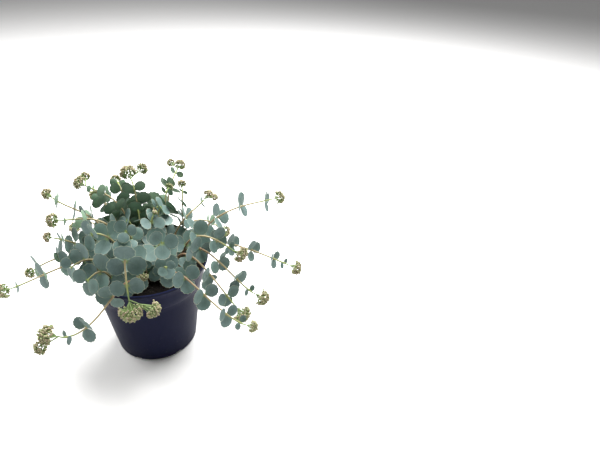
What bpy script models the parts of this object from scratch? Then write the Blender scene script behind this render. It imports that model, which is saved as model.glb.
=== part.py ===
"""Potted sedum: a thin plastic nursery pot of compost, full of arching leafy stems that end in bud heads.

Units are metres, +Z is up. The origin is on the pot's axis, in the plane that the pot stands on.
Turns are degrees about that axis, counted from +X towards +Y, and a reach is a distance from it.
"""
import math
import random
from collections import namedtuple

import bmesh
import bpy
from mathutils import Matrix, Vector
from mathutils.bvhtree import BVHTree
from mathutils.kdtree import KDTree

for old_object in list(bpy.data.objects):
    bpy.data.objects.remove(old_object, do_unlink=True)

UP = Vector((0, 0, 1))
GAP = 0.0003
WELD = 0.00001
SMOOTH_ANGLE = 35

# The pot, a 12 cm nursery pot
POT_SIDES = 24
POT_WALL = 0.0010
RIM_TOP = 0.1005
RIM_RADIUS = 0.0600
LIP_FOOT = 0.0975
LIP_TAPER = 0.0002
BAND_TOP = 0.0965
BAND_TOP_RADIUS = 0.0584
BAND_FOOT = 0.0760
BAND_FOOT_RADIUS = 0.0534
WALL_TOP = 0.0745
WALL_TOP_RADIUS = 0.0513
BASE_RADIUS = 0.0404
BASE_EDGE = 0.0012
DRAIN_SLOTS = 6
DRAIN_SLOT_TURN = 15
DRAIN_SLOT_SIZE = (0.0060, 0.0070, 0.0050)

# The compost in it
SOIL_TOP = 0.0900
SOIL_CROWN = 0.0020
SOIL_SHOULDER_RADIUS = 0.0300
SOIL_SHOULDER_SHARE = 0.6
SOIL_LUMP = 0.0008
SOIL_SEED = 4
STEM_DEPTH = 0.0090
HOLE_CLEARANCE = 0.0004

# The stems
STEM_RADIUS = 0.0010
STEM_STEP = 0.0125
STEM_FEWEST_RINGS = 4
ROUTE_STEPS = 120
LOWER_BEND_SHARE = 0.15
OUTER_BEND_SHARE = 0.65
TIP_RADIUS_SHARE = 0.75

# The whorls of leaves along them, from the pair of small ones under the head inwards. Where the
# first full whorl is close to the head, it takes their place. A leaf's root lies inside the
# stem, a little short of its middle line.
BRACTS_FROM_TIP = 0.0020
BRACTS_NEED = 0.0120
WHORL_GAP_SHRINK = 0.88
SMALLEST_GAP = 0.0085
LOWEST_WHORL = 0.0090
LEAVES_PER_WHORL = 3
LEAVES_UNDER_HEAD = 2
LEAF_SHARES = (0.48, 0.82, 0.98, 1.0, 0.98, 0.95, 0.92)
LEAF_SPREAD = (0.90, 1.08)
CUP_SPREAD = (0.02, 0.14)
LEAF_THICKNESS = 0.0018
ROOT_SHORT = 0.0002

# How a leaf lies: its upper face looks partly along the stem, up, and out to the bright side,
# and it sweeps a little towards the tip
BRIGHT_SIDE = Vector((0.3, -0.95, 0))
BRIGHT_SHARE = 1.30
FACE_ALONG_STEM = 0.35
FACE_UP = 0.50
FACE_UP_BEHIND = -0.10
FACE_OUT = 0.65
LAID_OVER = 0.88
TIP_SWEEP = 0.25

# How a place for a leaf is found: each try swings and leans further and is a little smaller
LEAF_SEED = 21
LEAF_CLEARANCE = 0.0005
LEAF_TRIES = 14
WHORL_SPREAD = 30
SWING, SWING_STEP = 8, 3
LEAN, LEAN_STEP = 0.12, 0.04
SHRINK_STEP = 0.025
RIM_GUARDS = 180
RIM_GUARD_RADIUS = 0.0015

# A leaf's outline, as (angle from the tip in degrees, radius as a share of the blade's length):
# a narrow foot, round sides and a blunt-toothed end. Only the largest whorls have the toothed
# one, and the small leaves under a head and those deep in the crown have a plainer one.
LEAF_OUTLINE = ((151, 0.41), (100, 0.515), (70, 0.485), (38, 0.505), (0, 0.450))
PLAIN_OUTLINE = ((140, 0.43), (68, 0.505), (0, 0.470))
LEAF_MIDDLE = 0.54
TOOTHED_WHORLS = (1, 2)
DEEPEST_WHORL = 5

# A bud head is one or two domes of buds, each drawn down to a stalk at the stem's end
HEAD_FLATNESS = 0.90
BUD_RISE = 0.30
STALK_SHARE = 1.25
SECOND_DOME_SHARE = 0.75
SECOND_DOME_REACH = 1.55
FORK_SHARE = 0.35
SECOND_DOME_RISE = 0.1
SKIRT_SHARE = 0.72
HEAD_BERTH = 1.1

# Each stem as it stands in the pot: where it leaves the compost, where the middle of its bud head
# is, how high its lower and outer stretches are drawn, the radius of the head, the turn about the
# stem's end at which a second dome sits, how far its first full whorl is from its end, the widest
# gap between whorls, its largest leaf, and how far its outer whorls are turned round it, where the
# photo shows it. A stem whose head has no radius is a leafy shoot.
Stem = namedtuple("Stem", "root_turn root_reach tip_turn reach rise bend tip_height head "
                  "fork first gap leaf turns", defaults=(None, 0.016, 0.024, 0.0165, ()))
STEMS = (
    Stem(278, 0.038, 239, 0.113, 0.158, 0.056, 0.088, 0.0095, 180, 0.019, 0.033, 0.0172, (100, 5)),
    Stem(263, 0.026, 275, 0.076, 0.167, 0.137, 0.099, 0.0115, -80, 0.007, 0.021, 0.0182, (105, 25)),
    Stem(288, 0.028, 283, 0.045, 0.125, 0.122, 0.112, 0.0065, None, 0.018, 0.024, 0.0175),
    Stem(207, 0.020, 201, 0.128, 0.137, 0.100, 0.091, 0.0080, None, 0.028, 0.023, 0.0168, (85, 65)),
    Stem(198, 0.043, 186, 0.113, 0.127, 0.108, 0.086, 0.0060, None, 0.007, 0.028, 0.0165),
    Stem(193, 0.031, 189, 0.085, 0.118, 0.126, 0.130, 0.0056, None, 0.005, 0.011, 0.0172, (105, 50)),
    Stem(187, 0.009, 182, 0.081, 0.168, 0.141, 0.142, 0.0078, None, 0.022, 0.023, 0.0172, (95, 20)),
    Stem(176, 0.023, 170, 0.092, 0.162, 0.139, 0.160, 0.0060, 150, 0.005, 0.0185, 0.0130, (95, 30)),
    Stem(137, 0.008, 156, 0.068, 0.173, 0.151, 0.166, 0.0075, 90, 0.016, 0.021, 0.0150, (0,)),
    Stem(147, 0.026, 142, 0.076, 0.145, 0.146, 0.142, 0.0060, None, 0.013, 0.014),
    Stem(128, 0.024, 125, 0.066, 0.160, 0.161, 0.156, 0.0065, None, 0.013, 0.012),
    Stem(106, 0.012, 115, 0.044, 0.164, 0.168, 0.172, 0.0090, 90, 0.009, 0.011, 0.0140, (80,)),
    Stem(62, 0.028, 70, 0.051, 0.145, 0.158, 0.153, 0.0050, None, 0.016, 0.018),
    Stem(44, 0.043, 64, 0.064, 0.142, 0.147, 0.152, 0.0055, None, 0.014, 0.012, 0.0120),
    Stem(74, 0.038, 74, 0.082, 0.150, 0.157, 0.163, 0.0070, 270, 0.018, 0.022),
    Stem(29, 0.021, 38, 0.072, 0.140, 0.133, 0.148, 0.0060, 90, 0.0235, 0.022, 0.0170, (40,)),
    Stem(14, 0.039, 22, 0.138, 0.154, 0.143, 0.143, 0.0075, None, 0.0055, 0.027, 0.0150, (50, 100, 10)),
    Stem(0, 0.031, -7, 0.094, 0.153, 0.128, 0.115, 0.0080, 30, 0.0147, 0.0187, 0.0162, (20, 105)),
    Stem(-12, 0.036, -14, 0.119, 0.174, 0.080, 0.078, 0.0085, None, 0.0177, 0.024, 0.0150, (65, 20)),
    Stem(-22, 0.029, -24, 0.107, 0.162, 0.092, 0.070, 0.0095, None, 0.0087, 0.025, 0.0155, (95, 60, 40)),
    Stem(-48, 0.035, -31, 0.128, 0.152, 0.074, 0.075, 0.0065, None, 0.0165, 0.0255, 0.0155, (75, 90, 90)),
    Stem(9, 0.025, 0, 0.147, 0.146, 0.106, 0.093, 0.0080, None, 0.0124, 0.022, 0.0128, (70, 50)),
    Stem(-30, 0.007, 20, 0.014, 0.143, 0.148, 0.149, 0.0035, None, 0.005, 0.012, 0.0150),
    Stem(95, 0.036, 95, 0.108, 0.140, 0.120, 0.092, 0.0075, None, 0.016, 0.026),
    Stem(60, 0.047, 50, 0.102, 0.128, 0.108, 0.082, 0.0075, None, 0.016, 0.026),
    Stem(122, 0.038, 122, 0.112, 0.138, 0.115, 0.088, 0.0085, 90, 0.016, 0.026),
    Stem(152, 0.039, 151, 0.102, 0.134, 0.118, 0.100, 0.0070, None, 0.016, 0.026),
    Stem(224, 0.034, 210, 0.072, 0.130, 0.122, 0.108, 0, None, 0.006, 0.014, 0.0185),
    Stem(232, 0.016, 214, 0.050, 0.135, 0.150, 0.142, 0, None, 0.006, 0.015, 0.0185),
    Stem(243, 0.040, 232, 0.067, 0.128, 0.116, 0.106, 0, None, 0.006, 0.013, 0.0185),
    Stem(316, 0.018, 312, 0.046, 0.130, 0.142, 0.138, 0, None, 0.006, 0.016, 0.0185),
)

# Leaf: where its foot is, the way it points, the way its upper face looks, its length, how deep
# it is cupped, and the stem and the whorl that it grows on
Leaf = namedtuple("Leaf", "foot along face length cup stem whorl")


def polar(turn, reach, height):
    """The point at a turn in degrees, a reach from the axis and a height."""
    angle = math.radians(turn)
    return Vector((reach * math.cos(angle), reach * math.sin(angle), height))


def route(stem):
    """Points along a stem from its foot to the underside of its head, and the way it runs at each."""
    span = stem.reach - stem.root_reach
    reaches = (stem.root_reach, stem.root_reach + LOWER_BEND_SHARE * span,
               stem.root_reach + OUTER_BEND_SHARE * span, stem.reach)
    heights = (SOIL_TOP - STEM_DEPTH, stem.rise, stem.bend, stem.tip_height)
    points = []
    for step in range(ROUTE_STEPS + 1):
        part = step / ROUTE_STEPS
        rest = 1 - part
        weights = (rest ** 3, 3 * rest * rest * part, 3 * rest * part * part, part ** 3)
        turn = stem.root_turn + (stem.tip_turn - stem.root_turn) * part
        reach = sum(weight * value for weight, value in zip(weights, reaches))
        height = sum(weight * value for weight, value in zip(weights, heights))
        points.append(polar(turn, reach, height))
    middle = points[-1]
    points = [point for point in points if (point - middle).length >= STALK_SHARE * stem.head]
    ways = [(ahead - behind).normalized() for behind, ahead in zip(points, points[1:])]
    return points, ways + ways[-1:], middle


def length_of(points):
    """The length of the line through the points."""
    return sum((after - before).length for before, after in zip(points, points[1:]))


def ring_steps(points):
    """The few steps of a route that the stem's tube is drawn through."""
    rings = max(STEM_FEWEST_RINGS, round(length_of(points) / STEM_STEP))
    return [round(ring * (len(points) - 1) / rings) for ring in range(rings + 1)]


def coarse_route(points):
    """The points of a route that the stem's tube is drawn through."""
    return [points[step] for step in ring_steps(points)]


def inside_tube(points, step):
    """The point on the middle line of the stem's tube beside a step of the route."""
    rings = ring_steps(points)
    before = max(ring for ring in rings[:-1] if ring <= step)
    after = min(ring for ring in rings if ring > before)
    return points[before].lerp(points[after], (step - before) / (after - before))


def whorl_places(points, first, widest):
    """The step along a route at which each whorl grows, by its number from the tip inwards."""
    places = {}
    whorl, gap = 1, first
    if first >= BRACTS_NEED:
        whorl, gap = 0, BRACTS_FROM_TIP
    next_gap = widest
    travelled = 0
    left = length_of(points)
    for step in range(len(points) - 2, 0, -1):
        length = (points[step + 1] - points[step]).length
        travelled += length
        left -= length
        if travelled >= gap and left > STEM_DEPTH + LOWEST_WHORL:
            places[whorl] = step
            travelled = 0
            gap = next_gap
            if whorl:
                next_gap = max(next_gap * WHORL_GAP_SHRINK, SMALLEST_GAP)
            else:
                gap = first - BRACTS_FROM_TIP
            whorl += 1
    return places


def blade_mesh(leaf, margin=0):
    """The points and triangles of a leaf: a cupped lens with a toothed edge and a blunt foot."""
    side = leaf.face.cross(leaf.along)
    middle = leaf.foot + leaf.along * (LEAF_MIDDLE * leaf.length) - leaf.face * leaf.cup
    half = LEAF_THICKNESS / 2 + margin
    points = [middle + leaf.face * half, middle - leaf.face * half,
              leaf.foot + leaf.along * ROOT_SHORT]
    outline = LEAF_OUTLINE if leaf.whorl in TOOTHED_WHORLS else PLAIN_OUTLINE
    mirrored = [(-angle, radius) for angle, radius in reversed(outline) if angle]
    for angle, radius in list(outline) + mirrored:
        reach = radius * leaf.length + margin
        along = LEAF_MIDDLE * leaf.length + reach * math.cos(math.radians(angle))
        across = reach * math.sin(math.radians(angle))
        points.append(leaf.foot + leaf.along * along + side * across)
    edge = list(range(2, len(points)))
    triangles = []
    for first, second in zip(edge, edge[1:] + edge[:1]):
        triangles.append((0, second, first))
        triangles.append((1, first, second))
    return points, triangles


def wall_radius(height):
    """The pot's outer radius at a height."""
    if height > BAND_TOP:
        return RIM_RADIUS
    if height >= BAND_FOOT:
        share = (height - BAND_FOOT) / (BAND_TOP - BAND_FOOT)
        return BAND_FOOT_RADIUS + share * (BAND_TOP_RADIUS - BAND_FOOT_RADIUS)
    share = (height - BASE_EDGE) / (WALL_TOP - BASE_EDGE)
    return BASE_RADIUS + share * (WALL_TOP_RADIUS - BASE_RADIUS)


class Thicket:
    """Keeps what has been placed, and says whether a new leaf is clear of it."""

    def __init__(self, routes):
        balls = []
        for number, (points, _, middle) in enumerate(routes):
            balls += [(point, STEM_RADIUS, ("stem", number)) for point in points]
            for centre, radius, _ in dome_places(STEMS[number], points[-1], middle):
                balls.append((centre, radius * HEAD_BERTH, ("head", number)))
        for step in range(RIM_GUARDS):
            guard = polar(360 * step / RIM_GUARDS, RIM_RADIUS - POT_WALL, RIM_TOP)
            balls.append((guard, RIM_GUARD_RADIUS, None))
        self.balls = balls
        self.widest = max(radius for _, radius, _ in balls) + LEAF_CLEARANCE
        self.tree = KDTree(len(balls))
        for index, (centre, _, _) in enumerate(balls):
            self.tree.insert(centre, index)
        self.tree.balance()
        self.leaves = []

    def admits(self, leaf):
        """Whether a leaf is clear of the compost, the pot, other stems, heads and whorls."""
        points, triangles = blade_mesh(leaf, LEAF_CLEARANCE)
        for point in points:
            reach = math.hypot(point.x, point.y)
            outside = wall_radius(point.z) if point.z < RIM_TOP else 0
            if point.z < SOIL_TOP + SOIL_CROWN + 2 * SOIL_LUMP and reach < outside:
                return False
            if point.z < RIM_TOP + LEAF_CLEARANCE and abs(reach - outside + POT_WALL) < 2 * POT_WALL:
                return False
        shape = BVHTree.FromPolygons(points, triangles)
        middle = leaf.foot + leaf.along * (leaf.length / 2)
        for _, index, _ in self.tree.find_range(middle, leaf.length / 2 + self.widest):
            centre, radius, owner = self.balls[index]
            if owner != ("stem", leaf.stem) and shape.find_nearest(centre, radius + LEAF_CLEARANCE)[0]:
                return False
        for other, other_middle, other_shape in self.leaves:
            if (middle - other_middle).length > (leaf.length + other.length) / 2 + LEAF_THICKNESS:
                continue
            if (other.stem, other.whorl) != (leaf.stem, leaf.whorl) and shape.overlap(other_shape):
                return False
        return True

    def add(self, leaf):
        points, triangles = blade_mesh(leaf)
        middle = leaf.foot + leaf.along * (leaf.length / 2)
        self.leaves.append((leaf, middle, BVHTree.FromPolygons(points, triangles)))


def leaf_at(foot, way, turn, tilt, length, cup, stem, whorl):
    """A leaf on a stem: square to the stem, then laid over so that it faces up and outwards."""
    outward = Vector((foot.x, foot.y, 0)).normalized()
    bright = (1 + outward.dot(BRIGHT_SIDE)) / 2
    outward = (outward + 2 * BRIGHT_SHARE * bright * BRIGHT_SIDE).normalized()
    raised = FACE_UP_BEHIND + (FACE_UP - FACE_UP_BEHIND) * bright
    light = (FACE_ALONG_STEM * way + raised * UP + FACE_OUT * outward + tilt).normalized()
    start = way.cross(UP if abs(way.z) < 0.9 else outward).normalized()
    spoke = Matrix.Rotation(math.radians(turn), 3, way) @ start
    along = (spoke - LAID_OVER * spoke.dot(light) * light + TIP_SWEEP * way).normalized()
    face = (light - light.dot(along) * along).normalized()
    return Leaf(foot, along, face, length, cup * length, stem, whorl)


def grow_leaves(routes):
    """Places every leaf, the outermost whorls first, each where it is clear of all the others."""
    draw = random.Random(LEAF_SEED)
    thicket = Thicket(routes)
    places = [whorl_places(points, stem.first, stem.gap) for stem, (points, _, _) in zip(STEMS, routes)]
    for whorl in range(DEEPEST_WHORL + 1):
        for stem, (points, ways, _) in enumerate(routes):
            if whorl not in places[stem]:
                continue
            step = places[stem][whorl]
            foot = inside_tube(points, step)
            count = LEAVES_PER_WHORL if whorl else LEAVES_UNDER_HEAD
            first_turn = draw.uniform(0, WHORL_SPREAD) + 180 / LEAVES_PER_WHORL * (whorl % 2)
            if 0 < whorl <= len(STEMS[stem].turns):
                first_turn = STEMS[stem].turns[whorl - 1]
            for spoke in range(count):
                share = LEAF_SHARES[min(whorl, len(LEAF_SHARES) - 1)]
                length = STEMS[stem].leaf * share * draw.uniform(*LEAF_SPREAD)
                cup = draw.uniform(*CUP_SPREAD)
                for attempt in range(LEAF_TRIES):
                    swing = SWING + SWING_STEP * attempt
                    turn = first_turn + 360 * spoke / count + draw.uniform(-swing, swing)
                    lean = LEAN + LEAN_STEP * attempt
                    tilt = Vector([draw.uniform(-lean, lean) for _ in range(3)])
                    size = length * (1 - SHRINK_STEP * attempt)
                    leaf = leaf_at(foot, ways[step], turn, tilt, size, cup, stem, whorl)
                    if thicket.admits(leaf):
                        thicket.add(leaf)
                        break
    return [leaf for leaf, _, _ in thicket.leaves]


def dome_places(stem, end, middle):
    """The middle, the radius and the stalk's start of each dome of the bud head past a stem's end."""
    if not stem.head:
        return []
    way = (middle - end).normalized()
    tip = end + way * GAP
    domes = [(middle, stem.head, tip)]
    if stem.fork is not None:
        level = (UP - UP.dot(way) * way).normalized()
        aside = Matrix.Rotation(math.radians(stem.fork), 3, way) @ level
        fork = tip.lerp(middle, FORK_SHARE)
        sideways = (aside + SECOND_DOME_RISE * way).normalized()
        centre = middle + sideways * (SECOND_DOME_REACH * stem.head)
        domes.append((centre, stem.head * SECOND_DOME_SHARE, fork))
    return domes


def add_object(name, mesh, group):
    """A new object with this mesh in this collection."""
    placed = bpy.data.objects.new(name, mesh)
    group.objects.link(placed)
    return placed


def mesh_of(name, points, faces):
    """A new mesh of these points and faces."""
    mesh = bpy.data.meshes.new(name)
    mesh.from_pydata([tuple(point) for point in points], [], faces)
    return mesh


def material(name, colour, roughness):
    """A plain material with a colour and a roughness."""
    finish = bpy.data.materials.new(name)
    finish.use_nodes = True
    shader = finish.node_tree.nodes["Principled BSDF"]
    shader.inputs["Base Color"].default_value = (*colour, 1)
    shader.inputs["Roughness"].default_value = roughness
    return finish


def bake_modifiers(target):
    """Applies an object's modifiers to its mesh."""
    bpy.context.view_layer.update()
    baked = bpy.data.meshes.new_from_object(target.evaluated_get(bpy.context.evaluated_depsgraph_get()))
    target.modifiers.clear()
    target.data = baked


def combine(target, pieces, operation, solver="EXACT"):
    """One Boolean of all the pieces on the target, applied, after which the pieces are removed."""
    group = bpy.data.collections.new("pieces")
    bpy.context.scene.collection.children.link(group)
    for piece in pieces:
        group.objects.link(piece)
        for other in list(piece.users_collection):
            if other != group:
                other.objects.unlink(piece)
    join = target.modifiers.new("join", "BOOLEAN")
    join.operation = operation
    join.operand_type = "COLLECTION"
    join.collection = group
    join.solver = solver
    bake_modifiers(target)
    for piece in pieces:
        bpy.data.objects.remove(piece, do_unlink=True)
    bpy.data.collections.remove(group)


def turned(name, profile, group):
    """A turned shape from a profile of (radius, height), given top to bottom down the outer side."""
    edges = [(step, step + 1) for step in range(len(profile) - 1)]
    mesh = bpy.data.meshes.new(name)
    mesh.from_pydata([(radius, 0, height) for radius, height in profile], edges, [])
    shape = add_object(name, mesh, group)
    screw = shape.modifiers.new("turn", "SCREW")
    screw.steps = POT_SIDES
    screw.render_steps = POT_SIDES
    screw.use_merge_vertices = True
    screw.merge_threshold = WELD
    return shape


def make_pot(group):
    """The pot: a tapered wall, a wider band below the rim, a thin rolled lip and drain slots."""
    profile = ((RIM_RADIUS - POT_WALL, RIM_TOP),
               (RIM_RADIUS, RIM_TOP - POT_WALL),
               (RIM_RADIUS - LIP_TAPER, LIP_FOOT),
               (BAND_TOP_RADIUS, BAND_TOP),
               (BAND_FOOT_RADIUS, BAND_FOOT),
               (WALL_TOP_RADIUS, WALL_TOP),
               (BASE_RADIUS, BASE_EDGE),
               (BASE_RADIUS - BASE_EDGE, 0),
               (0, 0))
    pot = turned("pot", profile, group)
    shell = pot.modifiers.new("wall", "SOLIDIFY")
    shell.thickness = POT_WALL
    shell.offset = -1
    shell.use_even_offset = True
    bake_modifiers(pot)
    slots = []
    for number in range(DRAIN_SLOTS):
        turn = DRAIN_SLOT_TURN + 360 * number / DRAIN_SLOTS
        bpy.ops.mesh.primitive_cube_add(size=1)
        slot = bpy.context.object
        slot.scale = DRAIN_SLOT_SIZE
        slot.location = polar(turn, BASE_RADIUS - BASE_EDGE, 0)
        slot.rotation_euler.z = math.radians(turn)
        slots.append(slot)
    combine(pot, slots, "DIFFERENCE")
    return pot


def make_soil(routes, group):
    """The compost: a lumpy, slightly domed fill, with a plain hole for each stem."""
    inside = POT_WALL + 2 * GAP
    profile = ((0, SOIL_TOP + SOIL_CROWN),
               (SOIL_SHOULDER_RADIUS, SOIL_TOP + SOIL_SHOULDER_SHARE * SOIL_CROWN),
               (wall_radius(SOIL_TOP) - inside - SOIL_LUMP, SOIL_TOP - SOIL_LUMP),
               (wall_radius(WALL_TOP - POT_WALL) - inside, WALL_TOP - 2 * POT_WALL),
               (wall_radius(BASE_EDGE + 2 * POT_WALL) - inside, BASE_EDGE + 2 * POT_WALL),
               (BASE_RADIUS - BASE_EDGE - 2 * POT_WALL, POT_WALL + GAP),
               (0, POT_WALL + GAP))
    soil = turned("soil", profile, group)
    bake_modifiers(soil)
    draw = random.Random(SOIL_SEED)
    for vertex in soil.data.vertices:
        if vertex.co.z > SOIL_TOP:
            vertex.co.z += draw.uniform(-SOIL_LUMP, SOIL_LUMP)
    holes = []
    hole_radius = (STEM_RADIUS + HOLE_CLEARANCE) * math.sqrt(2)
    for points, _, _ in routes:
        foot, above = coarse_route(points)[:2]
        way = (above - foot).normalized()
        bpy.ops.mesh.primitive_cone_add(vertices=4, radius1=hole_radius, radius2=hole_radius,
                                        depth=STEM_DEPTH * 4)
        hole = bpy.context.object
        hole.location = foot + way * (STEM_DEPTH * 2 - STEM_RADIUS)
        hole.rotation_mode = "QUATERNION"
        hole.rotation_quaternion = way.to_track_quat("Z", "Y")
        holes.append(hole)
    combine(soil, holes, "DIFFERENCE")
    return soil


def tube(name, points, group):
    """A stem's tube through the points, a little thinner at its tip, as a closed mesh."""
    curve = bpy.data.curves.new(name, "CURVE")
    curve.dimensions = "3D"
    curve.bevel_depth = STEM_RADIUS
    curve.bevel_resolution = 0
    curve.use_fill_caps = True
    spline = curve.splines.new("POLY")
    spline.points.add(len(points) - 1)
    for step, point in enumerate(points):
        share = step / (len(points) - 1)
        spline.points[step].co = (*point, 1)
        spline.points[step].radius = 1 - share * (1 - TIP_RADIUS_SHARE)
    drawn = add_object(name, curve, group)
    bpy.context.view_layer.update()
    mesh = bpy.data.meshes.new_from_object(drawn.evaluated_get(bpy.context.evaluated_depsgraph_get()))
    bpy.data.objects.remove(drawn, do_unlink=True)
    welder = bmesh.new()
    welder.from_mesh(mesh)
    bmesh.ops.remove_doubles(welder, verts=welder.verts, dist=WELD)
    bmesh.ops.recalc_face_normals(welder, faces=welder.faces)
    welder.to_mesh(mesh)
    welder.free()
    return add_object(name, mesh, group)


def make_stem(number, points, leaves, group):
    """A leafy stem: a thin tube with its leaves fused to it."""
    stem = tube(f"stem_{number + 1:02d}", coarse_route(points), group)
    blades = []
    for leaf in leaves:
        blades.append(add_object("blade", mesh_of("blade", *blade_mesh(leaf)), group))
    if blades:
        combine(stem, blades, "UNION", "MANIFOLD")
    return stem


def make_head(number, domes, group):
    """A bud head: domes of pointed buds, fused where their stalks fork."""
    pieces = []
    for centre, radius, start in domes:
        ball = bmesh.new()
        bmesh.ops.create_icosphere(ball, subdivisions=1, radius=radius / (1 + BUD_RISE))
        bmesh.ops.poke(ball, faces=ball.faces, offset=radius * BUD_RISE)
        bmesh.ops.scale(ball, vec=(1, 1, HEAD_FLATNESS), verts=ball.verts)
        corners = [vert for vert in ball.verts if len(vert.link_edges) > 3]
        corners.sort(key=lambda vert: vert.co.z)
        stalk, skirt = corners[0], corners[1:6]
        stalk.co.z = -(centre - start).length
        bmesh.ops.scale(ball, vec=(SKIRT_SHARE, SKIRT_SHARE, 1), verts=skirt)
        way = (centre - start).normalized()
        place = Matrix.Translation(centre) @ way.to_track_quat("Z", "Y").to_matrix().to_4x4()
        bmesh.ops.transform(ball, matrix=place, verts=ball.verts)
        mesh = bpy.data.meshes.new("dome")
        ball.to_mesh(mesh)
        ball.free()
        pieces.append(add_object("dome", mesh, group))
    head = pieces[0]
    head.name = f"head_{number + 1:02d}"
    if len(pieces) > 1:
        combine(head, pieces[1:], "UNION", "MANIFOLD")
    return head


def dress(piece, finish):
    """Gives a finished piece its one material."""
    piece.data.materials.clear()
    piece.data.materials.append(finish)


def main():
    group = bpy.data.collections.new("potted_sedum")
    bpy.context.scene.collection.children.link(group)
    plastic = material("pot_plastic", (0.030, 0.032, 0.085), 0.42)
    compost = material("compost", (0.035, 0.024, 0.018), 0.95)
    leaf_green = material("leaf_green", (0.17, 0.27, 0.23), 0.55)
    bud_tan = material("bud_tan", (0.45, 0.34, 0.22), 0.60)

    routes = [route(stem) for stem in STEMS]
    leaves = grow_leaves(routes)
    for piece, finish in ((make_pot(group), plastic), (make_soil(routes, group), compost)):
        dress(piece, finish)
        piece.data.shade_smooth()
        piece.data.set_sharp_from_angle(angle=math.radians(SMOOTH_ANGLE))
    for number, (stem, (points, _, middle)) in enumerate(zip(STEMS, routes)):
        own = [leaf for leaf in leaves if leaf.stem == number]
        dress(make_stem(number, points, own, group), leaf_green)
        if stem.head:
            dress(make_head(number, dome_places(stem, points[-1], middle), group), bud_tan)


main()
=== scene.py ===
"""Potted sedum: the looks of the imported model, in metres, +Z up, with the origin under the pot's middle.

Turns are degrees about the pot's axis, counted from +X towards +Y, and a reach is a distance from it.
"""
import math
import random
from collections import namedtuple

import bmesh
import bpy
from mathutils import Matrix, Vector, noise
from mathutils.bvhtree import BVHTree
from mathutils.kdtree import KDTree


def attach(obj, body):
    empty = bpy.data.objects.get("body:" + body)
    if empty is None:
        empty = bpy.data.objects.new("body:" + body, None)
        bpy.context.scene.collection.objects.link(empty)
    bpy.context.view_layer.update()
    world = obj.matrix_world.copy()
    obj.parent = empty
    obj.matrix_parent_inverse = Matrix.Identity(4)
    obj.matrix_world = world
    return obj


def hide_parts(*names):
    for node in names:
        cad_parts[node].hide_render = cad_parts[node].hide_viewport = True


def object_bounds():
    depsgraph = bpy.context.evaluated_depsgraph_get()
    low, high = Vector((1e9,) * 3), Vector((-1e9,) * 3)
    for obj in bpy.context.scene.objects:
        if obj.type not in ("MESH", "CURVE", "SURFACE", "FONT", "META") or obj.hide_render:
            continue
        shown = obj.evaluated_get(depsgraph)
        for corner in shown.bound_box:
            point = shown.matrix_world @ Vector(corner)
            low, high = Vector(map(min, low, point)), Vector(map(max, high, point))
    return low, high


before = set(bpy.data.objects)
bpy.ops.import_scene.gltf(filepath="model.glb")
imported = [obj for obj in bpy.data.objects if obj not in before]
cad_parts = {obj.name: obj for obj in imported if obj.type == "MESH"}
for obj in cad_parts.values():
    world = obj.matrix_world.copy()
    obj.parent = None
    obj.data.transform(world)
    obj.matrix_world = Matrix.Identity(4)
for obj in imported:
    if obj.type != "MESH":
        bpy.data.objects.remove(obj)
cad_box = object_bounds()


# The pot is one thin wall of dark navy plastic, moulded in one piece: a tapered body, a wider band under
# a thin rolled lip, and a flat foot with six drain slots round its edge. It stands on that foot and holds
# everything else.
POT_WALL = 0.0010
POT_SIDES = 144
RIM_TOP = 0.1005
RIM_RADIUS = 0.0600
LIP_FOOT = 0.0975
BAND_TOP = 0.0965
BAND_TOP_RADIUS = 0.0584
BAND_FOOT = 0.0760
BAND_FOOT_RADIUS = 0.0534
WALL_TOP = 0.0745
WALL_TOP_RADIUS = 0.0513
BASE_RADIUS = 0.0404
BASE_EDGE = 0.0012
FOOT_RECESS = 0.0004
FOOT_RECESS_RADIUS = 0.0300
FOOT_RING_RADIUS = 0.0335
WALL_RINGS = (0.018, 0.036, 0.054, 0.068)
BAND_RINGS = (0.083, 0.090)
INNER_BAND_RINGS = (0.0955, 0.086, 0.0768)
INNER_WALL_RINGS = (0.054, 0.030, 0.006)
DRAIN_SLOTS = 6
DRAIN_SLOT_TURN = 15
DRAIN_SLOT_SIZE = (0.0060, 0.0070, 0.0050)
DRAIN_SLOT_ROUND = 0.0012
DUST_TOP = 0.045
LIP_WEAR = (0.0988, 0.1004)
WELD = 0.00001
UP = Vector((0, 0, 1))


class Value:
    """A value that varies over a surface. Sums with it add Math nodes to its finish."""

    def __init__(self, finish, socket):
        self.finish = finish
        self.socket = socket

    def __add__(self, other):
        return self.finish.node("ShaderNodeMath", {"operation": "ADD"}, {0: self, 1: other})

    def __mul__(self, other):
        return self.finish.node("ShaderNodeMath", {"operation": "MULTIPLY"}, {0: self, 1: other})

    def __abs__(self):
        return self.finish.node("ShaderNodeMath", {"operation": "ABSOLUTE"}, {0: self})

    __radd__ = __add__
    __rmul__ = __mul__


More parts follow.
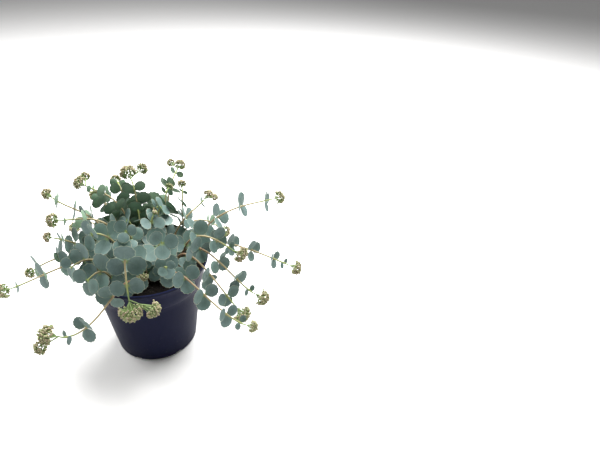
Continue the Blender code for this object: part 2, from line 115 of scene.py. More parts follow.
class Finish:
    """A procedural material, built up one node at a time."""

    def __init__(self, name, same_all_over=None):
        self.material = bpy.data.materials.new(name)
        self.material.use_nodes = True
        self.tree = self.material.node_tree
        self.shader = self.tree.nodes["Principled BSDF"]
        for socket, value in (same_all_over or {}).items():
            self.plug(self.shader.inputs[socket], value)

    def node(self, kind, settings=None, sockets=None, output=0):
        """Adds a node of a kind: first its settings, then the values or links of its sockets."""
        made = self.tree.nodes.new(kind)
        for name, value in (settings or {}).items():
            setattr(made, name, value)
        for name, value in (sockets or {}).items():
            self.plug(made.inputs[name], value)
        return Value(self, made.outputs[output])

    def plug(self, socket, value):
        """Links a varying value to a socket, or sets the socket to a plain one."""
        if isinstance(value, Value):
            self.tree.links.new(value.socket, socket)
        else:
            socket.default_value = value

    def feed(self, socket, value):
        """Links a varying value to the shader."""
        self.plug(self.shader.inputs[socket], value)

    def place(self, stretch=(1, 1, 1)):
        """The place on the object, in metres, stretched along the axes."""
        spot = self.node("ShaderNodeTexCoord", output="Object")
        return self.node("ShaderNodeMapping", None, {"Vector": spot, "Scale": stretch})

    def part_of(self, vector, axis):
        """One of a vector's three numbers, by its axis: X, Y or Z."""
        return self.node("ShaderNodeSeparateXYZ", None, {"Vector": vector}, output=axis)

    def grain(self, spot, scale, detail=3.0, roughness=0.55):
        """Soft noise from 0 to 1, with so many blotches a metre."""
        return self.node("ShaderNodeTexNoise", None, {"Vector": spot, "Scale": scale, "Detail": detail,
                                                      "Roughness": roughness})

    def read(self, attribute, output="Fac"):
        """What the mesh carries at each of its points under this name."""
        return self.node("ShaderNodeAttribute", {"attribute_name": attribute}, output=output)

    def from_to(self, value, low, high):
        """0 where the value is at low, 1 where it is at high, with a soft change between."""
        return self.node("ShaderNodeMapRange", {"interpolation_type": "SMOOTHSTEP"},
                         {"Value": value, "From Min": low, "From Max": high})

    def tint(self, share, first, second):
        """The first colour where the share is 0 and the second where it is 1."""
        return self.node("ShaderNodeMix", {"data_type": "RGBA"}, {0: share, 6: first, 7: second}, output=2)

    def emboss(self, height, distance, strength=1.0, under=None):
        """A bump of so many metres, on top of another bump if one is given."""
        sockets = {"Height": height, "Distance": distance, "Strength": strength}
        if under:
            sockets["Normal"] = under
        return self.node("ShaderNodeBump", None, sockets)


def polar(turn, reach, height):
    """The point at a turn in degrees, a reach from the axis and a height."""
    angle = math.radians(turn)
    return Vector((reach * math.cos(angle), reach * math.sin(angle), height))


def wall_radius(height):
    """The pot's outer radius at a height."""
    if height > BAND_TOP:
        return RIM_RADIUS
    if height >= BAND_FOOT:
        share = (height - BAND_FOOT) / (BAND_TOP - BAND_FOOT)
        return BAND_FOOT_RADIUS + share * (BAND_TOP_RADIUS - BAND_FOOT_RADIUS)
    share = (height - BASE_EDGE) / (WALL_TOP - BASE_EDGE)
    return BASE_RADIUS + share * (WALL_TOP_RADIUS - BASE_RADIUS)


def turned(profile, sides):
    """A closed turned shape from a profile of (radius, height) that starts and ends on the axis."""
    shape = bmesh.new()
    points = [shape.verts.new((radius, 0, height)) for radius, height in profile]
    edges = [shape.edges.new(pair) for pair in zip(points, points[1:])]
    bmesh.ops.spin(shape, geom=points + edges, cent=(0, 0, 0), axis=UP, angle=math.tau, steps=sides,
                   use_merge=True)
    bmesh.ops.remove_doubles(shape, verts=shape.verts, dist=WELD)
    bmesh.ops.recalc_face_normals(shape, faces=shape.faces)
    return shape


def piece_of(name, shape, finishes, slot, *nodes, sharp_from=40):
    """Makes a bmesh a named piece that rides on the one body and stands for its CAD nodes."""
    mesh = bpy.data.meshes.new(name)
    shape.to_mesh(mesh)
    shape.free()
    mesh.shade_smooth()
    mesh.set_sharp_from_angle(angle=math.radians(sharp_from))
    for finish in finishes:
        mesh.materials.append(finish.material)
    piece = bpy.data.objects.new(name, mesh)
    bpy.context.scene.collection.objects.link(piece)
    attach(piece, "root")
    if nodes:
        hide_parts(*nodes)
    return piece


# The profile runs from the middle of the underside up the outside, over the lip and down the inside. Points
# a few tenths of a millimetre apart round its corners.
pot_profile = [(0, FOOT_RECESS), (FOOT_RECESS_RADIUS, FOOT_RECESS), (FOOT_RING_RADIUS, 0.0),
               (BASE_RADIUS - 0.0016, 0.0), (BASE_RADIUS - 0.0006, 0.0004),
               (BASE_RADIUS - 0.0001, BASE_EDGE), (BASE_RADIUS + 0.0001, 2 * BASE_EDGE)]
pot_profile += [(wall_radius(height), height) for height in WALL_RINGS]
pot_profile += [(WALL_TOP_RADIUS, WALL_TOP - 0.0002), (WALL_TOP_RADIUS + 0.0003, WALL_TOP + 0.0003),
                (BAND_FOOT_RADIUS - 0.0004, BAND_FOOT - 0.0004), (BAND_FOOT_RADIUS, BAND_FOOT + 0.0001)]
pot_profile += [(wall_radius(height), height) for height in BAND_RINGS]
pot_profile += [(BAND_TOP_RADIUS, BAND_TOP - 0.0002), (RIM_RADIUS - 0.0006, LIP_FOOT - 0.0005),
                (RIM_RADIUS - 0.0002, LIP_FOOT), (RIM_RADIUS, LIP_FOOT + 0.0008),
                (RIM_RADIUS, RIM_TOP - 0.0009), (RIM_RADIUS - 0.0002, RIM_TOP - 0.0003),
                (RIM_RADIUS - 0.0006, RIM_TOP), (RIM_RADIUS - 0.0010, RIM_TOP - 0.0003),
                (RIM_RADIUS - 0.0013, RIM_TOP - 0.0010), (RIM_RADIUS - 0.0016, LIP_FOOT - 0.0003)]
pot_profile += [(wall_radius(height) - POT_WALL, height) for height in INNER_BAND_RINGS]
pot_profile += [(WALL_TOP_RADIUS - POT_WALL, WALL_TOP - 0.0008)]
pot_profile += [(wall_radius(height) - POT_WALL, height) for height in INNER_WALL_RINGS]
pot_profile += [(BASE_RADIUS - 0.0014, 2 * BASE_EDGE), (BASE_RADIUS - 0.0026, BASE_EDGE), (0, BASE_EDGE)]
pot_shape = turned(pot_profile, POT_SIDES)

navy = Finish("navy_pot_plastic", {"Specular IOR Level": 0.05})
spot = navy.place()
cloudy = navy.grain(spot, 26, 4)
rubbed = navy.from_to(navy.grain(navy.place((1, 1, 0.25)), 90, 5, 0.65), 0.50, 0.78)
height_up = navy.part_of(spot, "Z")
dusty = navy.from_to(navy.grain(spot, 420, 2), 0.63, 0.72) * navy.from_to(height_up, DUST_TOP, 0.0)
lip_wear = navy.from_to(height_up, *LIP_WEAR)
navy_deep, navy_pale = (0.0065, 0.0075, 0.024, 1), (0.0105, 0.0125, 0.036, 1)
colour = navy.tint(cloudy, navy_deep, navy_pale)
colour = navy.tint(lip_wear * 0.55, colour, (0.045, 0.055, 0.150, 1))
colour = navy.tint(dusty * 0.22, colour, (0.17, 0.15, 0.13, 1))
navy.feed("Base Color", colour)
navy.feed("Roughness", 0.40 + cloudy * 0.10 + rubbed * 0.14 + dusty * 0.25)
fine_grain = navy.grain(spot, 2400, 2)
long_waves = navy.grain(navy.place((1, 1, 0.3)), 70, 2)
navy.feed("Normal", navy.emboss(fine_grain, 0.00003, 1.0, navy.emboss(long_waves, 0.0004, 0.5)))

pot = piece_of("nursery_pot", pot_shape, [navy], "pot_plastic", "pot", sharp_from=50)
slot_shape = bmesh.new()
for number in range(DRAIN_SLOTS):
    turn = DRAIN_SLOT_TURN + 360 * number / DRAIN_SLOTS
    place = (Matrix.Translation(polar(turn, BASE_RADIUS - BASE_EDGE, 0))
             @ Matrix.Rotation(math.radians(turn), 4, "Z") @ Matrix.Diagonal((*DRAIN_SLOT_SIZE, 1)))
    bmesh.ops.create_cube(slot_shape, size=1, matrix=place)
upright = [edge for edge in slot_shape.edges if abs(edge.verts[0].co.z - edge.verts[1].co.z) > WELD]
bmesh.ops.bevel(slot_shape, geom=upright, offset=DRAIN_SLOT_ROUND, affect="EDGES", segments=3, profile=0.5,
                material=-1)
slot_mesh = bpy.data.meshes.new("drain_slots")
slot_shape.to_mesh(slot_mesh)
slot_shape.free()
slots = bpy.data.objects.new("drain_slots", slot_mesh)
bpy.context.scene.collection.objects.link(slots)
cut = pot.modifiers.new("drain slots", "BOOLEAN")
cut.object = slots
cut.operation = "DIFFERENCE"
bpy.context.view_layer.update()
pot.data = bpy.data.meshes.new_from_object(pot.evaluated_get(bpy.context.evaluated_depsgraph_get()))
pot.modifiers.clear()
bpy.data.objects.remove(slots, do_unlink=True)


# The compost is one fill of damp peat with a little grit. It is loose and lumpy on top, sinks a little
# below the rim, and every stem is rooted in it.
SOIL_TOP = 0.0900
SOIL_CROWN = 0.0020
SOIL_LUMP = 0.0008
SOIL_RINGS = 26
SOIL_SIDES = 96
SOIL_FOOT = 0.0015
SOIL_SIDE_GAP = 0.0014
SOIL_TOP_GAP = 0.0004
SOIL_SINK = 0.0012
LUMPY_DEPTH = 0.002
COARSE_LUMPS, FINE_LUMPS = 260, 720
FINE_LUMP_SHARE = 0.7
CRUMBS = 900
CRUMB_SEED = 31
CRUMB_SIZES = (0.0005, 0.0007, 0.0010, 0.0014)
CRUMB_SPREAD = (0.8, 1.2)
CRUMB_WIDTHS = (0.6, 1.0)
CRUMB_HEIGHTS = (0.5, 0.9)
CRUMB_RISE = 0.3
CRUMB_EDGE_GAP = 0.0012


def ball_mesh(segments, rings):
    """A plain ball as a mesh, to be copied and shaped many times over."""
    ball = bmesh.new()
    bmesh.ops.create_uvsphere(ball, u_segments=segments, v_segments=rings, radius=1)
    mesh = bpy.data.meshes.new("ball")
    ball.to_mesh(mesh)
    ball.free()
    return mesh


def copy_in(shape, mesh):
    """Adds a copy of a mesh to a shape that nothing was taken from, and gives the new points."""
    count = len(shape.verts)
    shape.from_mesh(mesh)
    shape.verts.ensure_lookup_table()
    return shape.verts[count:]


soil_profile = [(0, SOIL_FOOT), (BASE_RADIUS - 0.0034, SOIL_FOOT), (wall_radius(0.004) - 0.0017, 0.004),
                (wall_radius(0.040) - SOIL_SIDE_GAP, 0.040),
                (WALL_TOP_RADIUS - SOIL_SIDE_GAP, WALL_TOP - 0.003)]
soil_edge = wall_radius(SOIL_TOP) - POT_WALL - SOIL_TOP_GAP
for ring in range(SOIL_RINGS + 1):
    share = 1 - ring / SOIL_RINGS
    soil_profile.append((soil_edge * share, SOIL_TOP + SOIL_CROWN * (1 - share ** 2) - SOIL_SINK))
soil_shape = turned(soil_profile, SOIL_SIDES)
for vert in soil_shape.verts:
    if vert.co.z > SOIL_TOP - LUMPY_DEPTH:
        lump = noise.noise(vert.co * COARSE_LUMPS) + FINE_LUMP_SHARE * noise.noise(vert.co * FINE_LUMPS)
        vert.co.z += SOIL_LUMP * lump

crumbs = bmesh.new()
crumb_ball = ball_mesh(6, 4)
crumb_draw = random.Random(CRUMB_SEED)
for number in range(CRUMBS):
    reach = (soil_edge - CRUMB_EDGE_GAP) * math.sqrt(crumb_draw.random())
    size = crumb_draw.choice(CRUMB_SIZES) * crumb_draw.uniform(*CRUMB_SPREAD)
    height = SOIL_TOP - SOIL_SINK + SOIL_CROWN * (1 - (reach / soil_edge) ** 2) + size * CRUMB_RISE
    turn = crumb_draw.uniform(0, 360)
    tip, spin = crumb_draw.uniform(0, 6), crumb_draw.uniform(0, 6)
    width, depth = size * crumb_draw.uniform(*CRUMB_WIDTHS), size * crumb_draw.uniform(*CRUMB_HEIGHTS)
    place = (Matrix.Translation(polar(turn, reach, height)) @ Matrix.Rotation(tip, 4, "X")
             @ Matrix.Rotation(spin, 4, "Z") @ Matrix.Diagonal((size, width, depth, 1)))
    for vert in copy_in(crumbs, crumb_ball):
        vert.co = place @ vert.co
crumb_mesh = bpy.data.meshes.new("crumbs")
crumbs.to_mesh(crumb_mesh)
crumbs.free()
soil_shape.from_mesh(crumb_mesh)

peat = Finish("peat_compost")
spot = peat.place()
speckle = peat.grain(spot, 900, 4)
colour = peat.tint(peat.from_to(speckle, 0.35, 0.65), (0.007, 0.005, 0.004, 1), (0.030, 0.021, 0.015, 1))
grit = peat.from_to(peat.grain(spot, 520, 1), 0.70, 0.74)
peat.feed("Base Color", peat.tint(grit * 0.5, colour, (0.30, 0.27, 0.23, 1)))
peat.feed("Roughness", 0.80 + speckle * 0.18)
peat.feed("Normal", peat.emboss(speckle, 0.0006))
piece_of("compost_fill", soil_shape, [peat], "compost", "soil")


# The leafy stems arch outwards from the compost. Each is one grown thing: a thin fleshy stalk, woody low down
# and yellow-green near its end, with whorls of three round, thick, blue-grey leaves that sit right on it. The
# table and the rule below put the leaves where the solids have them.
GAP = 0.0003
STEM_DEPTH = 0.0090
STEM_RADIUS = 0.0010
STEM_STEP = 0.0125
STEM_FEWEST_RINGS = 4
ROUTE_STEPS = 120
LOWER_BEND_SHARE = 0.15
OUTER_BEND_SHARE = 0.65
TIP_RADIUS_SHARE = 0.75
BRACTS_FROM_TIP = 0.0020
BRACTS_NEED = 0.0120
WHORL_GAP_SHRINK = 0.88
SMALLEST_GAP = 0.0085
LOWEST_WHORL = 0.0090
LEAVES_PER_WHORL = 3
LEAVES_UNDER_HEAD = 2
LEAF_SHARES = (0.48, 0.82, 0.98, 1.0, 0.98, 0.95, 0.92)
LEAF_SPREAD = (0.90, 1.08)
CUP_SPREAD = (0.02, 0.14)
LEAF_THICKNESS = 0.0018
ROOT_SHORT = 0.0002
BRIGHT_SIDE = Vector((0.3, -0.95, 0))
BRIGHT_SHARE = 1.30
FACE_ALONG_STEM = 0.35
FACE_UP = 0.50
FACE_UP_BEHIND = -0.10
FACE_OUT = 0.65
LAID_OVER = 0.88
TIP_SWEEP = 0.25
LEAF_SEED = 21
LEAF_CLEARANCE = 0.0005
LEAF_TRIES = 14
WHORL_SPREAD = 30
SWING, SWING_STEP = 8, 3
LEAN, LEAN_STEP = 0.12, 0.04
SHRINK_STEP = 0.025
UPRIGHT = 0.9
MEND_TRIES = 60
MEND_LEAN = 0.45
MEND_SHARES = (0.70, 0.95)
MEND_NEAREST = 0.15
RIM_GUARDS = 180
RIM_GUARD_RADIUS = 0.0015
LEAF_OUTLINE = ((151, 0.41), (100, 0.515), (70, 0.485), (38, 0.505), (0, 0.450))
PLAIN_OUTLINE = ((140, 0.43), (68, 0.505), (0, 0.470))
LEAF_MIDDLE = 0.54
TOOTHED_WHORLS = (1, 2)
SOLID_WHORLS = 5
ALL_WHORLS = 12
HEAD_BERTH = 1.1
STALK_SHARE = 1.25
SECOND_DOME_SHARE = 0.75
SECOND_DOME_REACH = 1.55
FORK_SHARE = 0.35
SECOND_DOME_RISE = 0.1

Stem = namedtuple("Stem", "root_turn root_reach tip_turn reach rise bend tip_height head "
                  "fork first gap leaf turns", defaults=(None, 0.016, 0.024, 0.0165, ()))
STEMS = (
    Stem(278, 0.038, 239, 0.113, 0.158, 0.056, 0.088, 0.0095, 180, 0.019, 0.033, 0.0172, (100, 5)),
    Stem(263, 0.026, 275, 0.076, 0.167, 0.137, 0.099, 0.0115, -80, 0.007, 0.021, 0.0182, (105, 25)),
    Stem(288, 0.028, 283, 0.045, 0.125, 0.122, 0.112, 0.0065, None, 0.018, 0.024, 0.0175),
    Stem(207, 0.020, 201, 0.128, 0.137, 0.100, 0.091, 0.0080, None, 0.028, 0.023, 0.0168, (85, 65)),
    Stem(198, 0.043, 186, 0.113, 0.127, 0.108, 0.086, 0.0060, None, 0.007, 0.028, 0.0165),
    Stem(193, 0.031, 189, 0.085, 0.118, 0.126, 0.130, 0.0056, None, 0.005, 0.011, 0.0172, (105, 50)),
    Stem(187, 0.009, 182, 0.081, 0.168, 0.141, 0.142, 0.0078, None, 0.022, 0.023, 0.0172, (95, 20)),
    Stem(176, 0.023, 170, 0.092, 0.162, 0.139, 0.160, 0.0060, 150, 0.005, 0.0185, 0.0130, (95, 30)),
    Stem(137, 0.008, 156, 0.068, 0.173, 0.151, 0.166, 0.0075, 90, 0.016, 0.021, 0.0150, (0,)),
    Stem(147, 0.026, 142, 0.076, 0.145, 0.146, 0.142, 0.0060, None, 0.013, 0.014),
    Stem(128, 0.024, 125, 0.066, 0.160, 0.161, 0.156, 0.0065, None, 0.013, 0.012),
    Stem(106, 0.012, 115, 0.044, 0.164, 0.168, 0.172, 0.0090, 90, 0.009, 0.011, 0.0140, (80,)),
    Stem(62, 0.028, 70, 0.051, 0.145, 0.158, 0.153, 0.0050, None, 0.016, 0.018),
    Stem(44, 0.043, 64, 0.064, 0.142, 0.147, 0.152, 0.0055, None, 0.014, 0.012, 0.0120),
    Stem(74, 0.038, 74, 0.082, 0.150, 0.157, 0.163, 0.0070, 270, 0.018, 0.022),
    Stem(29, 0.021, 38, 0.072, 0.140, 0.133, 0.148, 0.0060, 90, 0.0235, 0.022, 0.0170, (40,)),
    Stem(14, 0.039, 22, 0.138, 0.154, 0.143, 0.143, 0.0075, None, 0.0055, 0.027, 0.0150, (50, 100, 10)),
    Stem(0, 0.031, -7, 0.094, 0.153, 0.128, 0.115, 0.0080, 30, 0.0147, 0.0187, 0.0162, (20, 105)),
    Stem(-12, 0.036, -14, 0.119, 0.174, 0.080, 0.078, 0.0085, None, 0.0177, 0.024, 0.0150, (65, 20)),
    Stem(-22, 0.029, -24, 0.107, 0.162, 0.092, 0.070, 0.0095, None, 0.0087, 0.025, 0.0155, (95, 60, 40)),
    Stem(-48, 0.035, -31, 0.128, 0.152, 0.074, 0.075, 0.0065, None, 0.0165, 0.0255, 0.0155, (75, 90, 90)),
    Stem(9, 0.025, 0, 0.147, 0.146, 0.106, 0.093, 0.0080, None, 0.0124, 0.022, 0.0128, (70, 50)),
    Stem(-30, 0.007, 20, 0.014, 0.143, 0.148, 0.149, 0.0035, None, 0.005, 0.012, 0.0150),
    Stem(95, 0.036, 95, 0.108, 0.140, 0.120, 0.092, 0.0075, None, 0.016, 0.026),
    Stem(60, 0.047, 50, 0.102, 0.128, 0.108, 0.082, 0.0075, None, 0.016, 0.026),
    Stem(122, 0.038, 122, 0.112, 0.138, 0.115, 0.088, 0.0085, 90, 0.016, 0.026),
    Stem(152, 0.039, 151, 0.102, 0.134, 0.118, 0.100, 0.0070, None, 0.016, 0.026),
    Stem(224, 0.034, 210, 0.072, 0.130, 0.122, 0.108, 0, None, 0.006, 0.014, 0.0185),
    Stem(232, 0.016, 214, 0.050, 0.135, 0.150, 0.142, 0, None, 0.006, 0.015, 0.0185),
    Stem(243, 0.040, 232, 0.067, 0.128, 0.116, 0.106, 0, None, 0.006, 0.013, 0.0185),
    Stem(316, 0.018, 312, 0.046, 0.130, 0.142, 0.138, 0, None, 0.006, 0.016, 0.0185),
)
Leaf = namedtuple("Leaf", "foot along face length cup stem whorl")


def route(stem):
    """Points along a stem from its foot to the underside of its head, and the way it runs at each."""
    span = stem.reach - stem.root_reach
    reaches = (stem.root_reach, stem.root_reach + LOWER_BEND_SHARE * span,
               stem.root_reach + OUTER_BEND_SHARE * span, stem.reach)
    heights = (SOIL_TOP - STEM_DEPTH, stem.rise, stem.bend, stem.tip_height)
    points = []
    for step in range(ROUTE_STEPS + 1):
        part = step / ROUTE_STEPS
        rest = 1 - part
        weights = (rest ** 3, 3 * rest * rest * part, 3 * rest * part * part, part ** 3)
        turn = stem.root_turn + (stem.tip_turn - stem.root_turn) * part
        reach = sum(weight * value for weight, value in zip(weights, reaches))
        height = sum(weight * value for weight, value in zip(weights, heights))
        points.append(polar(turn, reach, height))
    middle = points[-1]
    points = [point for point in points if (point - middle).length >= STALK_SHARE * stem.head]
    ways = [(ahead - behind).normalized() for behind, ahead in zip(points, points[1:])]
    return points, ways + ways[-1:], middle


def length_of(points):
    """The length of the line through the points."""
    return sum((after - before).length for before, after in zip(points, points[1:]))


def inside_tube(points, step):
    """The point on the middle line of the solid stem's tube beside a step of the route."""
    count = max(STEM_FEWEST_RINGS, round(length_of(points) / STEM_STEP))
    rings = [round(ring * (len(points) - 1) / count) for ring in range(count + 1)]
    before = max(ring for ring in rings[:-1] if ring <= step)
    after = min(ring for ring in rings if ring > before)
    return points[before].lerp(points[after], (step - before) / (after - before))


def whorl_places(points, first, widest):
    """The step along a route at which each whorl grows, by its number from the tip inwards."""
    places = {}
    whorl, gap = 1, first
    if first >= BRACTS_NEED:
        whorl, gap = 0, BRACTS_FROM_TIP
    next_gap = widest
    travelled = 0
    left = length_of(points)
    for step in range(len(points) - 2, 0, -1):
        length = (points[step + 1] - points[step]).length
        travelled += length
        left -= length
        if travelled >= gap and left > STEM_DEPTH + LOWEST_WHORL:
            places[whorl] = step
            travelled = 0
            gap = next_gap
            if whorl:
                next_gap = max(next_gap * WHORL_GAP_SHRINK, SMALLEST_GAP)
            else:
                gap = first - BRACTS_FROM_TIP
            whorl += 1
    return places


def plain_blade(leaf, margin=0):
    """The points and triangles of the plain leaf that the room for a leaf is tested with."""
    side = leaf.face.cross(leaf.along)
    middle = leaf.foot + leaf.along * (LEAF_MIDDLE * leaf.length) - leaf.face * leaf.cup
    half = LEAF_THICKNESS / 2 + margin
    points = [middle + leaf.face * half, middle - leaf.face * half,
              leaf.foot + leaf.along * ROOT_SHORT]
    outline = LEAF_OUTLINE if leaf.whorl in TOOTHED_WHORLS else PLAIN_OUTLINE
    mirrored = [(-angle, radius) for angle, radius in reversed(outline) if angle]
    for angle, radius in list(outline) + mirrored:
        reach = radius * leaf.length + margin
        along = LEAF_MIDDLE * leaf.length + reach * math.cos(math.radians(angle))
        across = reach * math.sin(math.radians(angle))
        points.append(leaf.foot + leaf.along * along + side * across)
    edge = list(range(2, len(points)))
    triangles = []
    for first, second in zip(edge, edge[1:] + edge[:1]):
        triangles.append((0, second, first))
        triangles.append((1, first, second))
    return points, triangles


def dome_places(stem, end, middle):
    """The middle, the radius and the stalk's start of each dome of the bud head past a stem's end."""
    if not stem.head:
        return []
    way = (middle - end).normalized()
    tip = end + way * GAP
    domes = [(middle, stem.head, tip)]
    if stem.fork is not None:
        level = (UP - UP.dot(way) * way).normalized()
        aside = Matrix.Rotation(math.radians(stem.fork), 3, way) @ level
        fork = tip.lerp(middle, FORK_SHARE)
        sideways = (aside + SECOND_DOME_RISE * way).normalized()
        centre = middle + sideways * (SECOND_DOME_REACH * stem.head)
        domes.append((centre, stem.head * SECOND_DOME_SHARE, fork))
    return domes


class Thicket:
    """Keeps what has been placed, and says whether a new leaf is clear of it."""

    def __init__(self, stems, routes):
        balls = []
        for number, (points, _, middle) in enumerate(routes):
            balls += [(point, STEM_RADIUS, ("stem", number)) for point in points]
            for centre, radius, _ in dome_places(stems[number], points[-1], middle):
                balls.append((centre, radius * HEAD_BERTH, ("head", number)))
        for step in range(RIM_GUARDS):
            guard = polar(360 * step / RIM_GUARDS, RIM_RADIUS - POT_WALL, RIM_TOP)
            balls.append((guard, RIM_GUARD_RADIUS, None))
        self.balls = balls
        self.widest = max(radius for _, radius, _ in balls) + LEAF_CLEARANCE
        self.tree = KDTree(len(balls))
        for index, (centre, _, _) in enumerate(balls):
            self.tree.insert(centre, index)
        self.tree.balance()
        self.leaves = []

    def admits(self, leaf):
        """Whether a leaf is clear of the compost, the pot, other stems, heads and whorls."""
        points, triangles = plain_blade(leaf, LEAF_CLEARANCE)
        for point in points:
            reach = math.hypot(point.x, point.y)
            outside = wall_radius(point.z) if point.z < RIM_TOP else 0
            if point.z < SOIL_TOP + SOIL_CROWN + 2 * SOIL_LUMP and reach < outside:
                return False
            if point.z < RIM_TOP + LEAF_CLEARANCE and abs(reach - outside + POT_WALL) < 2 * POT_WALL:
                return False
        shape = BVHTree.FromPolygons(points, triangles)
        middle = leaf.foot + leaf.along * (leaf.length / 2)
        for _, index, _ in self.tree.find_range(middle, leaf.length / 2 + self.widest):
            centre, radius, owner = self.balls[index]
            if owner != ("stem", leaf.stem) and shape.find_nearest(centre, radius + LEAF_CLEARANCE)[0]:
                return False
        for other, other_middle, other_shape in self.leaves:
            if (middle - other_middle).length > (leaf.length + other.length) / 2 + LEAF_THICKNESS:
                continue
            if (other.stem, other.whorl) != (leaf.stem, leaf.whorl) and shape.overlap(other_shape):
                return False
        return True

    def add(self, leaf):
        """Notes a leaf as placed."""
        points, triangles = plain_blade(leaf)
        middle = leaf.foot + leaf.along * (leaf.length / 2)
        self.leaves.append((leaf, middle, BVHTree.FromPolygons(points, triangles)))


def leaf_at(foot, way, turn, tilt, length, cup, stem, whorl):
    """A leaf on a stem: square to the stem, then laid over so that it faces up and outwards."""
    outward = Vector((foot.x, foot.y, 0)).normalized()
    bright = (1 + outward.dot(BRIGHT_SIDE)) / 2
    outward = (outward + 2 * BRIGHT_SHARE * bright * BRIGHT_SIDE).normalized()
    raised = FACE_UP_BEHIND + (FACE_UP - FACE_UP_BEHIND) * bright
    light = (FACE_ALONG_STEM * way + raised * UP + FACE_OUT * outward + tilt).normalized()
    start = way.cross(UP if abs(way.z) < UPRIGHT else outward).normalized()
    spoke = Matrix.Rotation(math.radians(turn), 3, way) @ start
    along = (spoke - LAID_OVER * spoke.dot(light) * light + TIP_SWEEP * way).normalized()
    face = (light - light.dot(along) * along).normalized()
    return Leaf(foot, along, face, length, cup * length, stem, whorl)


def grow_leaves(thicket, stems, routes, draw, first_whorl, last_whorl, first_stem=0, lift=Vector()):
    """Places the leaves of these whorls, each where it is clear of all the others."""
    places = [whorl_places(points, stem.first, stem.gap) for stem, (points, _, _) in zip(stems, routes)]
    for whorl in range(first_whorl, last_whorl + 1):
        for stem, (points, ways, _) in enumerate(routes):
            if stem < first_stem or whorl not in places[stem]:
                continue
            step = places[stem][whorl]
            foot = inside_tube(points, step)
            count = LEAVES_PER_WHORL if whorl else LEAVES_UNDER_HEAD
            first_turn = draw.uniform(0, WHORL_SPREAD) + 180 / LEAVES_PER_WHORL * (whorl % 2)
            if 0 < whorl <= len(stems[stem].turns):
                first_turn = stems[stem].turns[whorl - 1]
            for spoke in range(count):
                share = LEAF_SHARES[min(whorl, len(LEAF_SHARES) - 1)]
                length = stems[stem].leaf * share * draw.uniform(*LEAF_SPREAD)
                cup = draw.uniform(*CUP_SPREAD)
                for attempt in range(LEAF_TRIES):
                    swing = SWING + SWING_STEP * attempt
                    turn = first_turn + 360 * spoke / count + draw.uniform(-swing, swing)
                    lean = LEAN + LEAN_STEP * attempt
                    tilt = lift + Vector([draw.uniform(-lean, lean) for _ in range(3)])
                    size = length * (1 - SHRINK_STEP * attempt)
                    leaf = leaf_at(foot, ways[step], turn, tilt, size, cup, stem, whorl)
                    if thicket.admits(leaf):
                        thicket.add(leaf)
                        break


def mend_whorls(thicket, stems, routes, draw):
    """Adds a leaf to whorls that lack one, where there is room for it between the others."""
    for stem, (points, ways, _) in enumerate(routes):
        for whorl, step in whorl_places(points, stems[stem].first, stems[stem].gap).items():
            own = [leaf for leaf, _, _ in thicket.leaves if (leaf.stem, leaf.whorl) == (stem, whorl)]
            for attempt in range(MEND_TRIES):
                if whorl == 0 or len(own) == LEAVES_PER_WHORL:
                    break
                tilt = Vector([draw.uniform(-MEND_LEAN, MEND_LEAN) for _ in range(3)])
                size = stems[stem].leaf * draw.uniform(*MEND_SHARES)
                leaf = leaf_at(inside_tube(points, step), ways[step], draw.uniform(0, 360), tilt, size,
                               draw.uniform(*CUP_SPREAD), stem, whorl)
                if all(leaf.along.dot(other.along) < MEND_NEAREST for other in own) and thicket.admits(leaf):
                    thicket.add(leaf)
                    own.append(leaf)


# How the fine leaf is shaped: a thick round disc, drawn out to a narrow foot, with a cupped middle, a faint
# fold, a slightly wavy rim and shallow blunt teeth, one at every second point of its outline. The outline is
# given as in the rule above, and lengths are shares of the leaf's length.
FINE_OUTLINE = ((0, 0.475), (40, 0.498), (75, 0.512), (100, 0.508), (125, 0.466), (150, 0.425), (168, 0.440),
                (180, 0.540))
BLADE_SIDES = 24
BLADE_THICKNESS = 0.0012
TOOTH_DEPTH = 0.042
TOOTHED_TO = 125
TOOTH_FADE = 25
EDGE_WAVES = 3
EDGE_WAVE = (0.004, 0.018)
FOLD = (0.0, 0.05)
DROOP = (-0.02, 0.05)
FOOT_FLAT = 0.12
CUP_CURVE = 1.8
EDGE_CURVE = 0.6
BLADE_SEED = 5
STALK_SIDES = 10
STALK_STRIDE = 3
JOINT_LENGTH = 0.0013
JOINT_SWELLING = 0.28
STALK_FINISH = 1


def outline_radius(angle):
    """The smooth outline's radius at an angle from the tip, as a share of the blade's length."""
    for (low, near), (high, far) in zip(FINE_OUTLINE, FINE_OUTLINE[1:]):
        if angle <= high:
            share = (angle - low) / (high - low)
            share = share * share * (3 - 2 * share) if high < 180 else share
            return near + (far - near) * share
    return FINE_OUTLINE[-1][1]


def blade_mesh():
    """A plain leaf to be copied and shaped: two rings of a ball above, and one point below."""
    ball = bmesh.new()
    bmesh.ops.create_uvsphere(ball, u_segments=BLADE_SIDES, v_segments=4, radius=1)
    lower = [vert for vert in ball.verts if vert.co.z < -0.1]
    bmesh.ops.pointmerge(ball, verts=lower, merge_co=(0, 0, -1))
    mesh = bpy.data.meshes.new("blade")
    ball.to_mesh(mesh)
    ball.free()
    return mesh


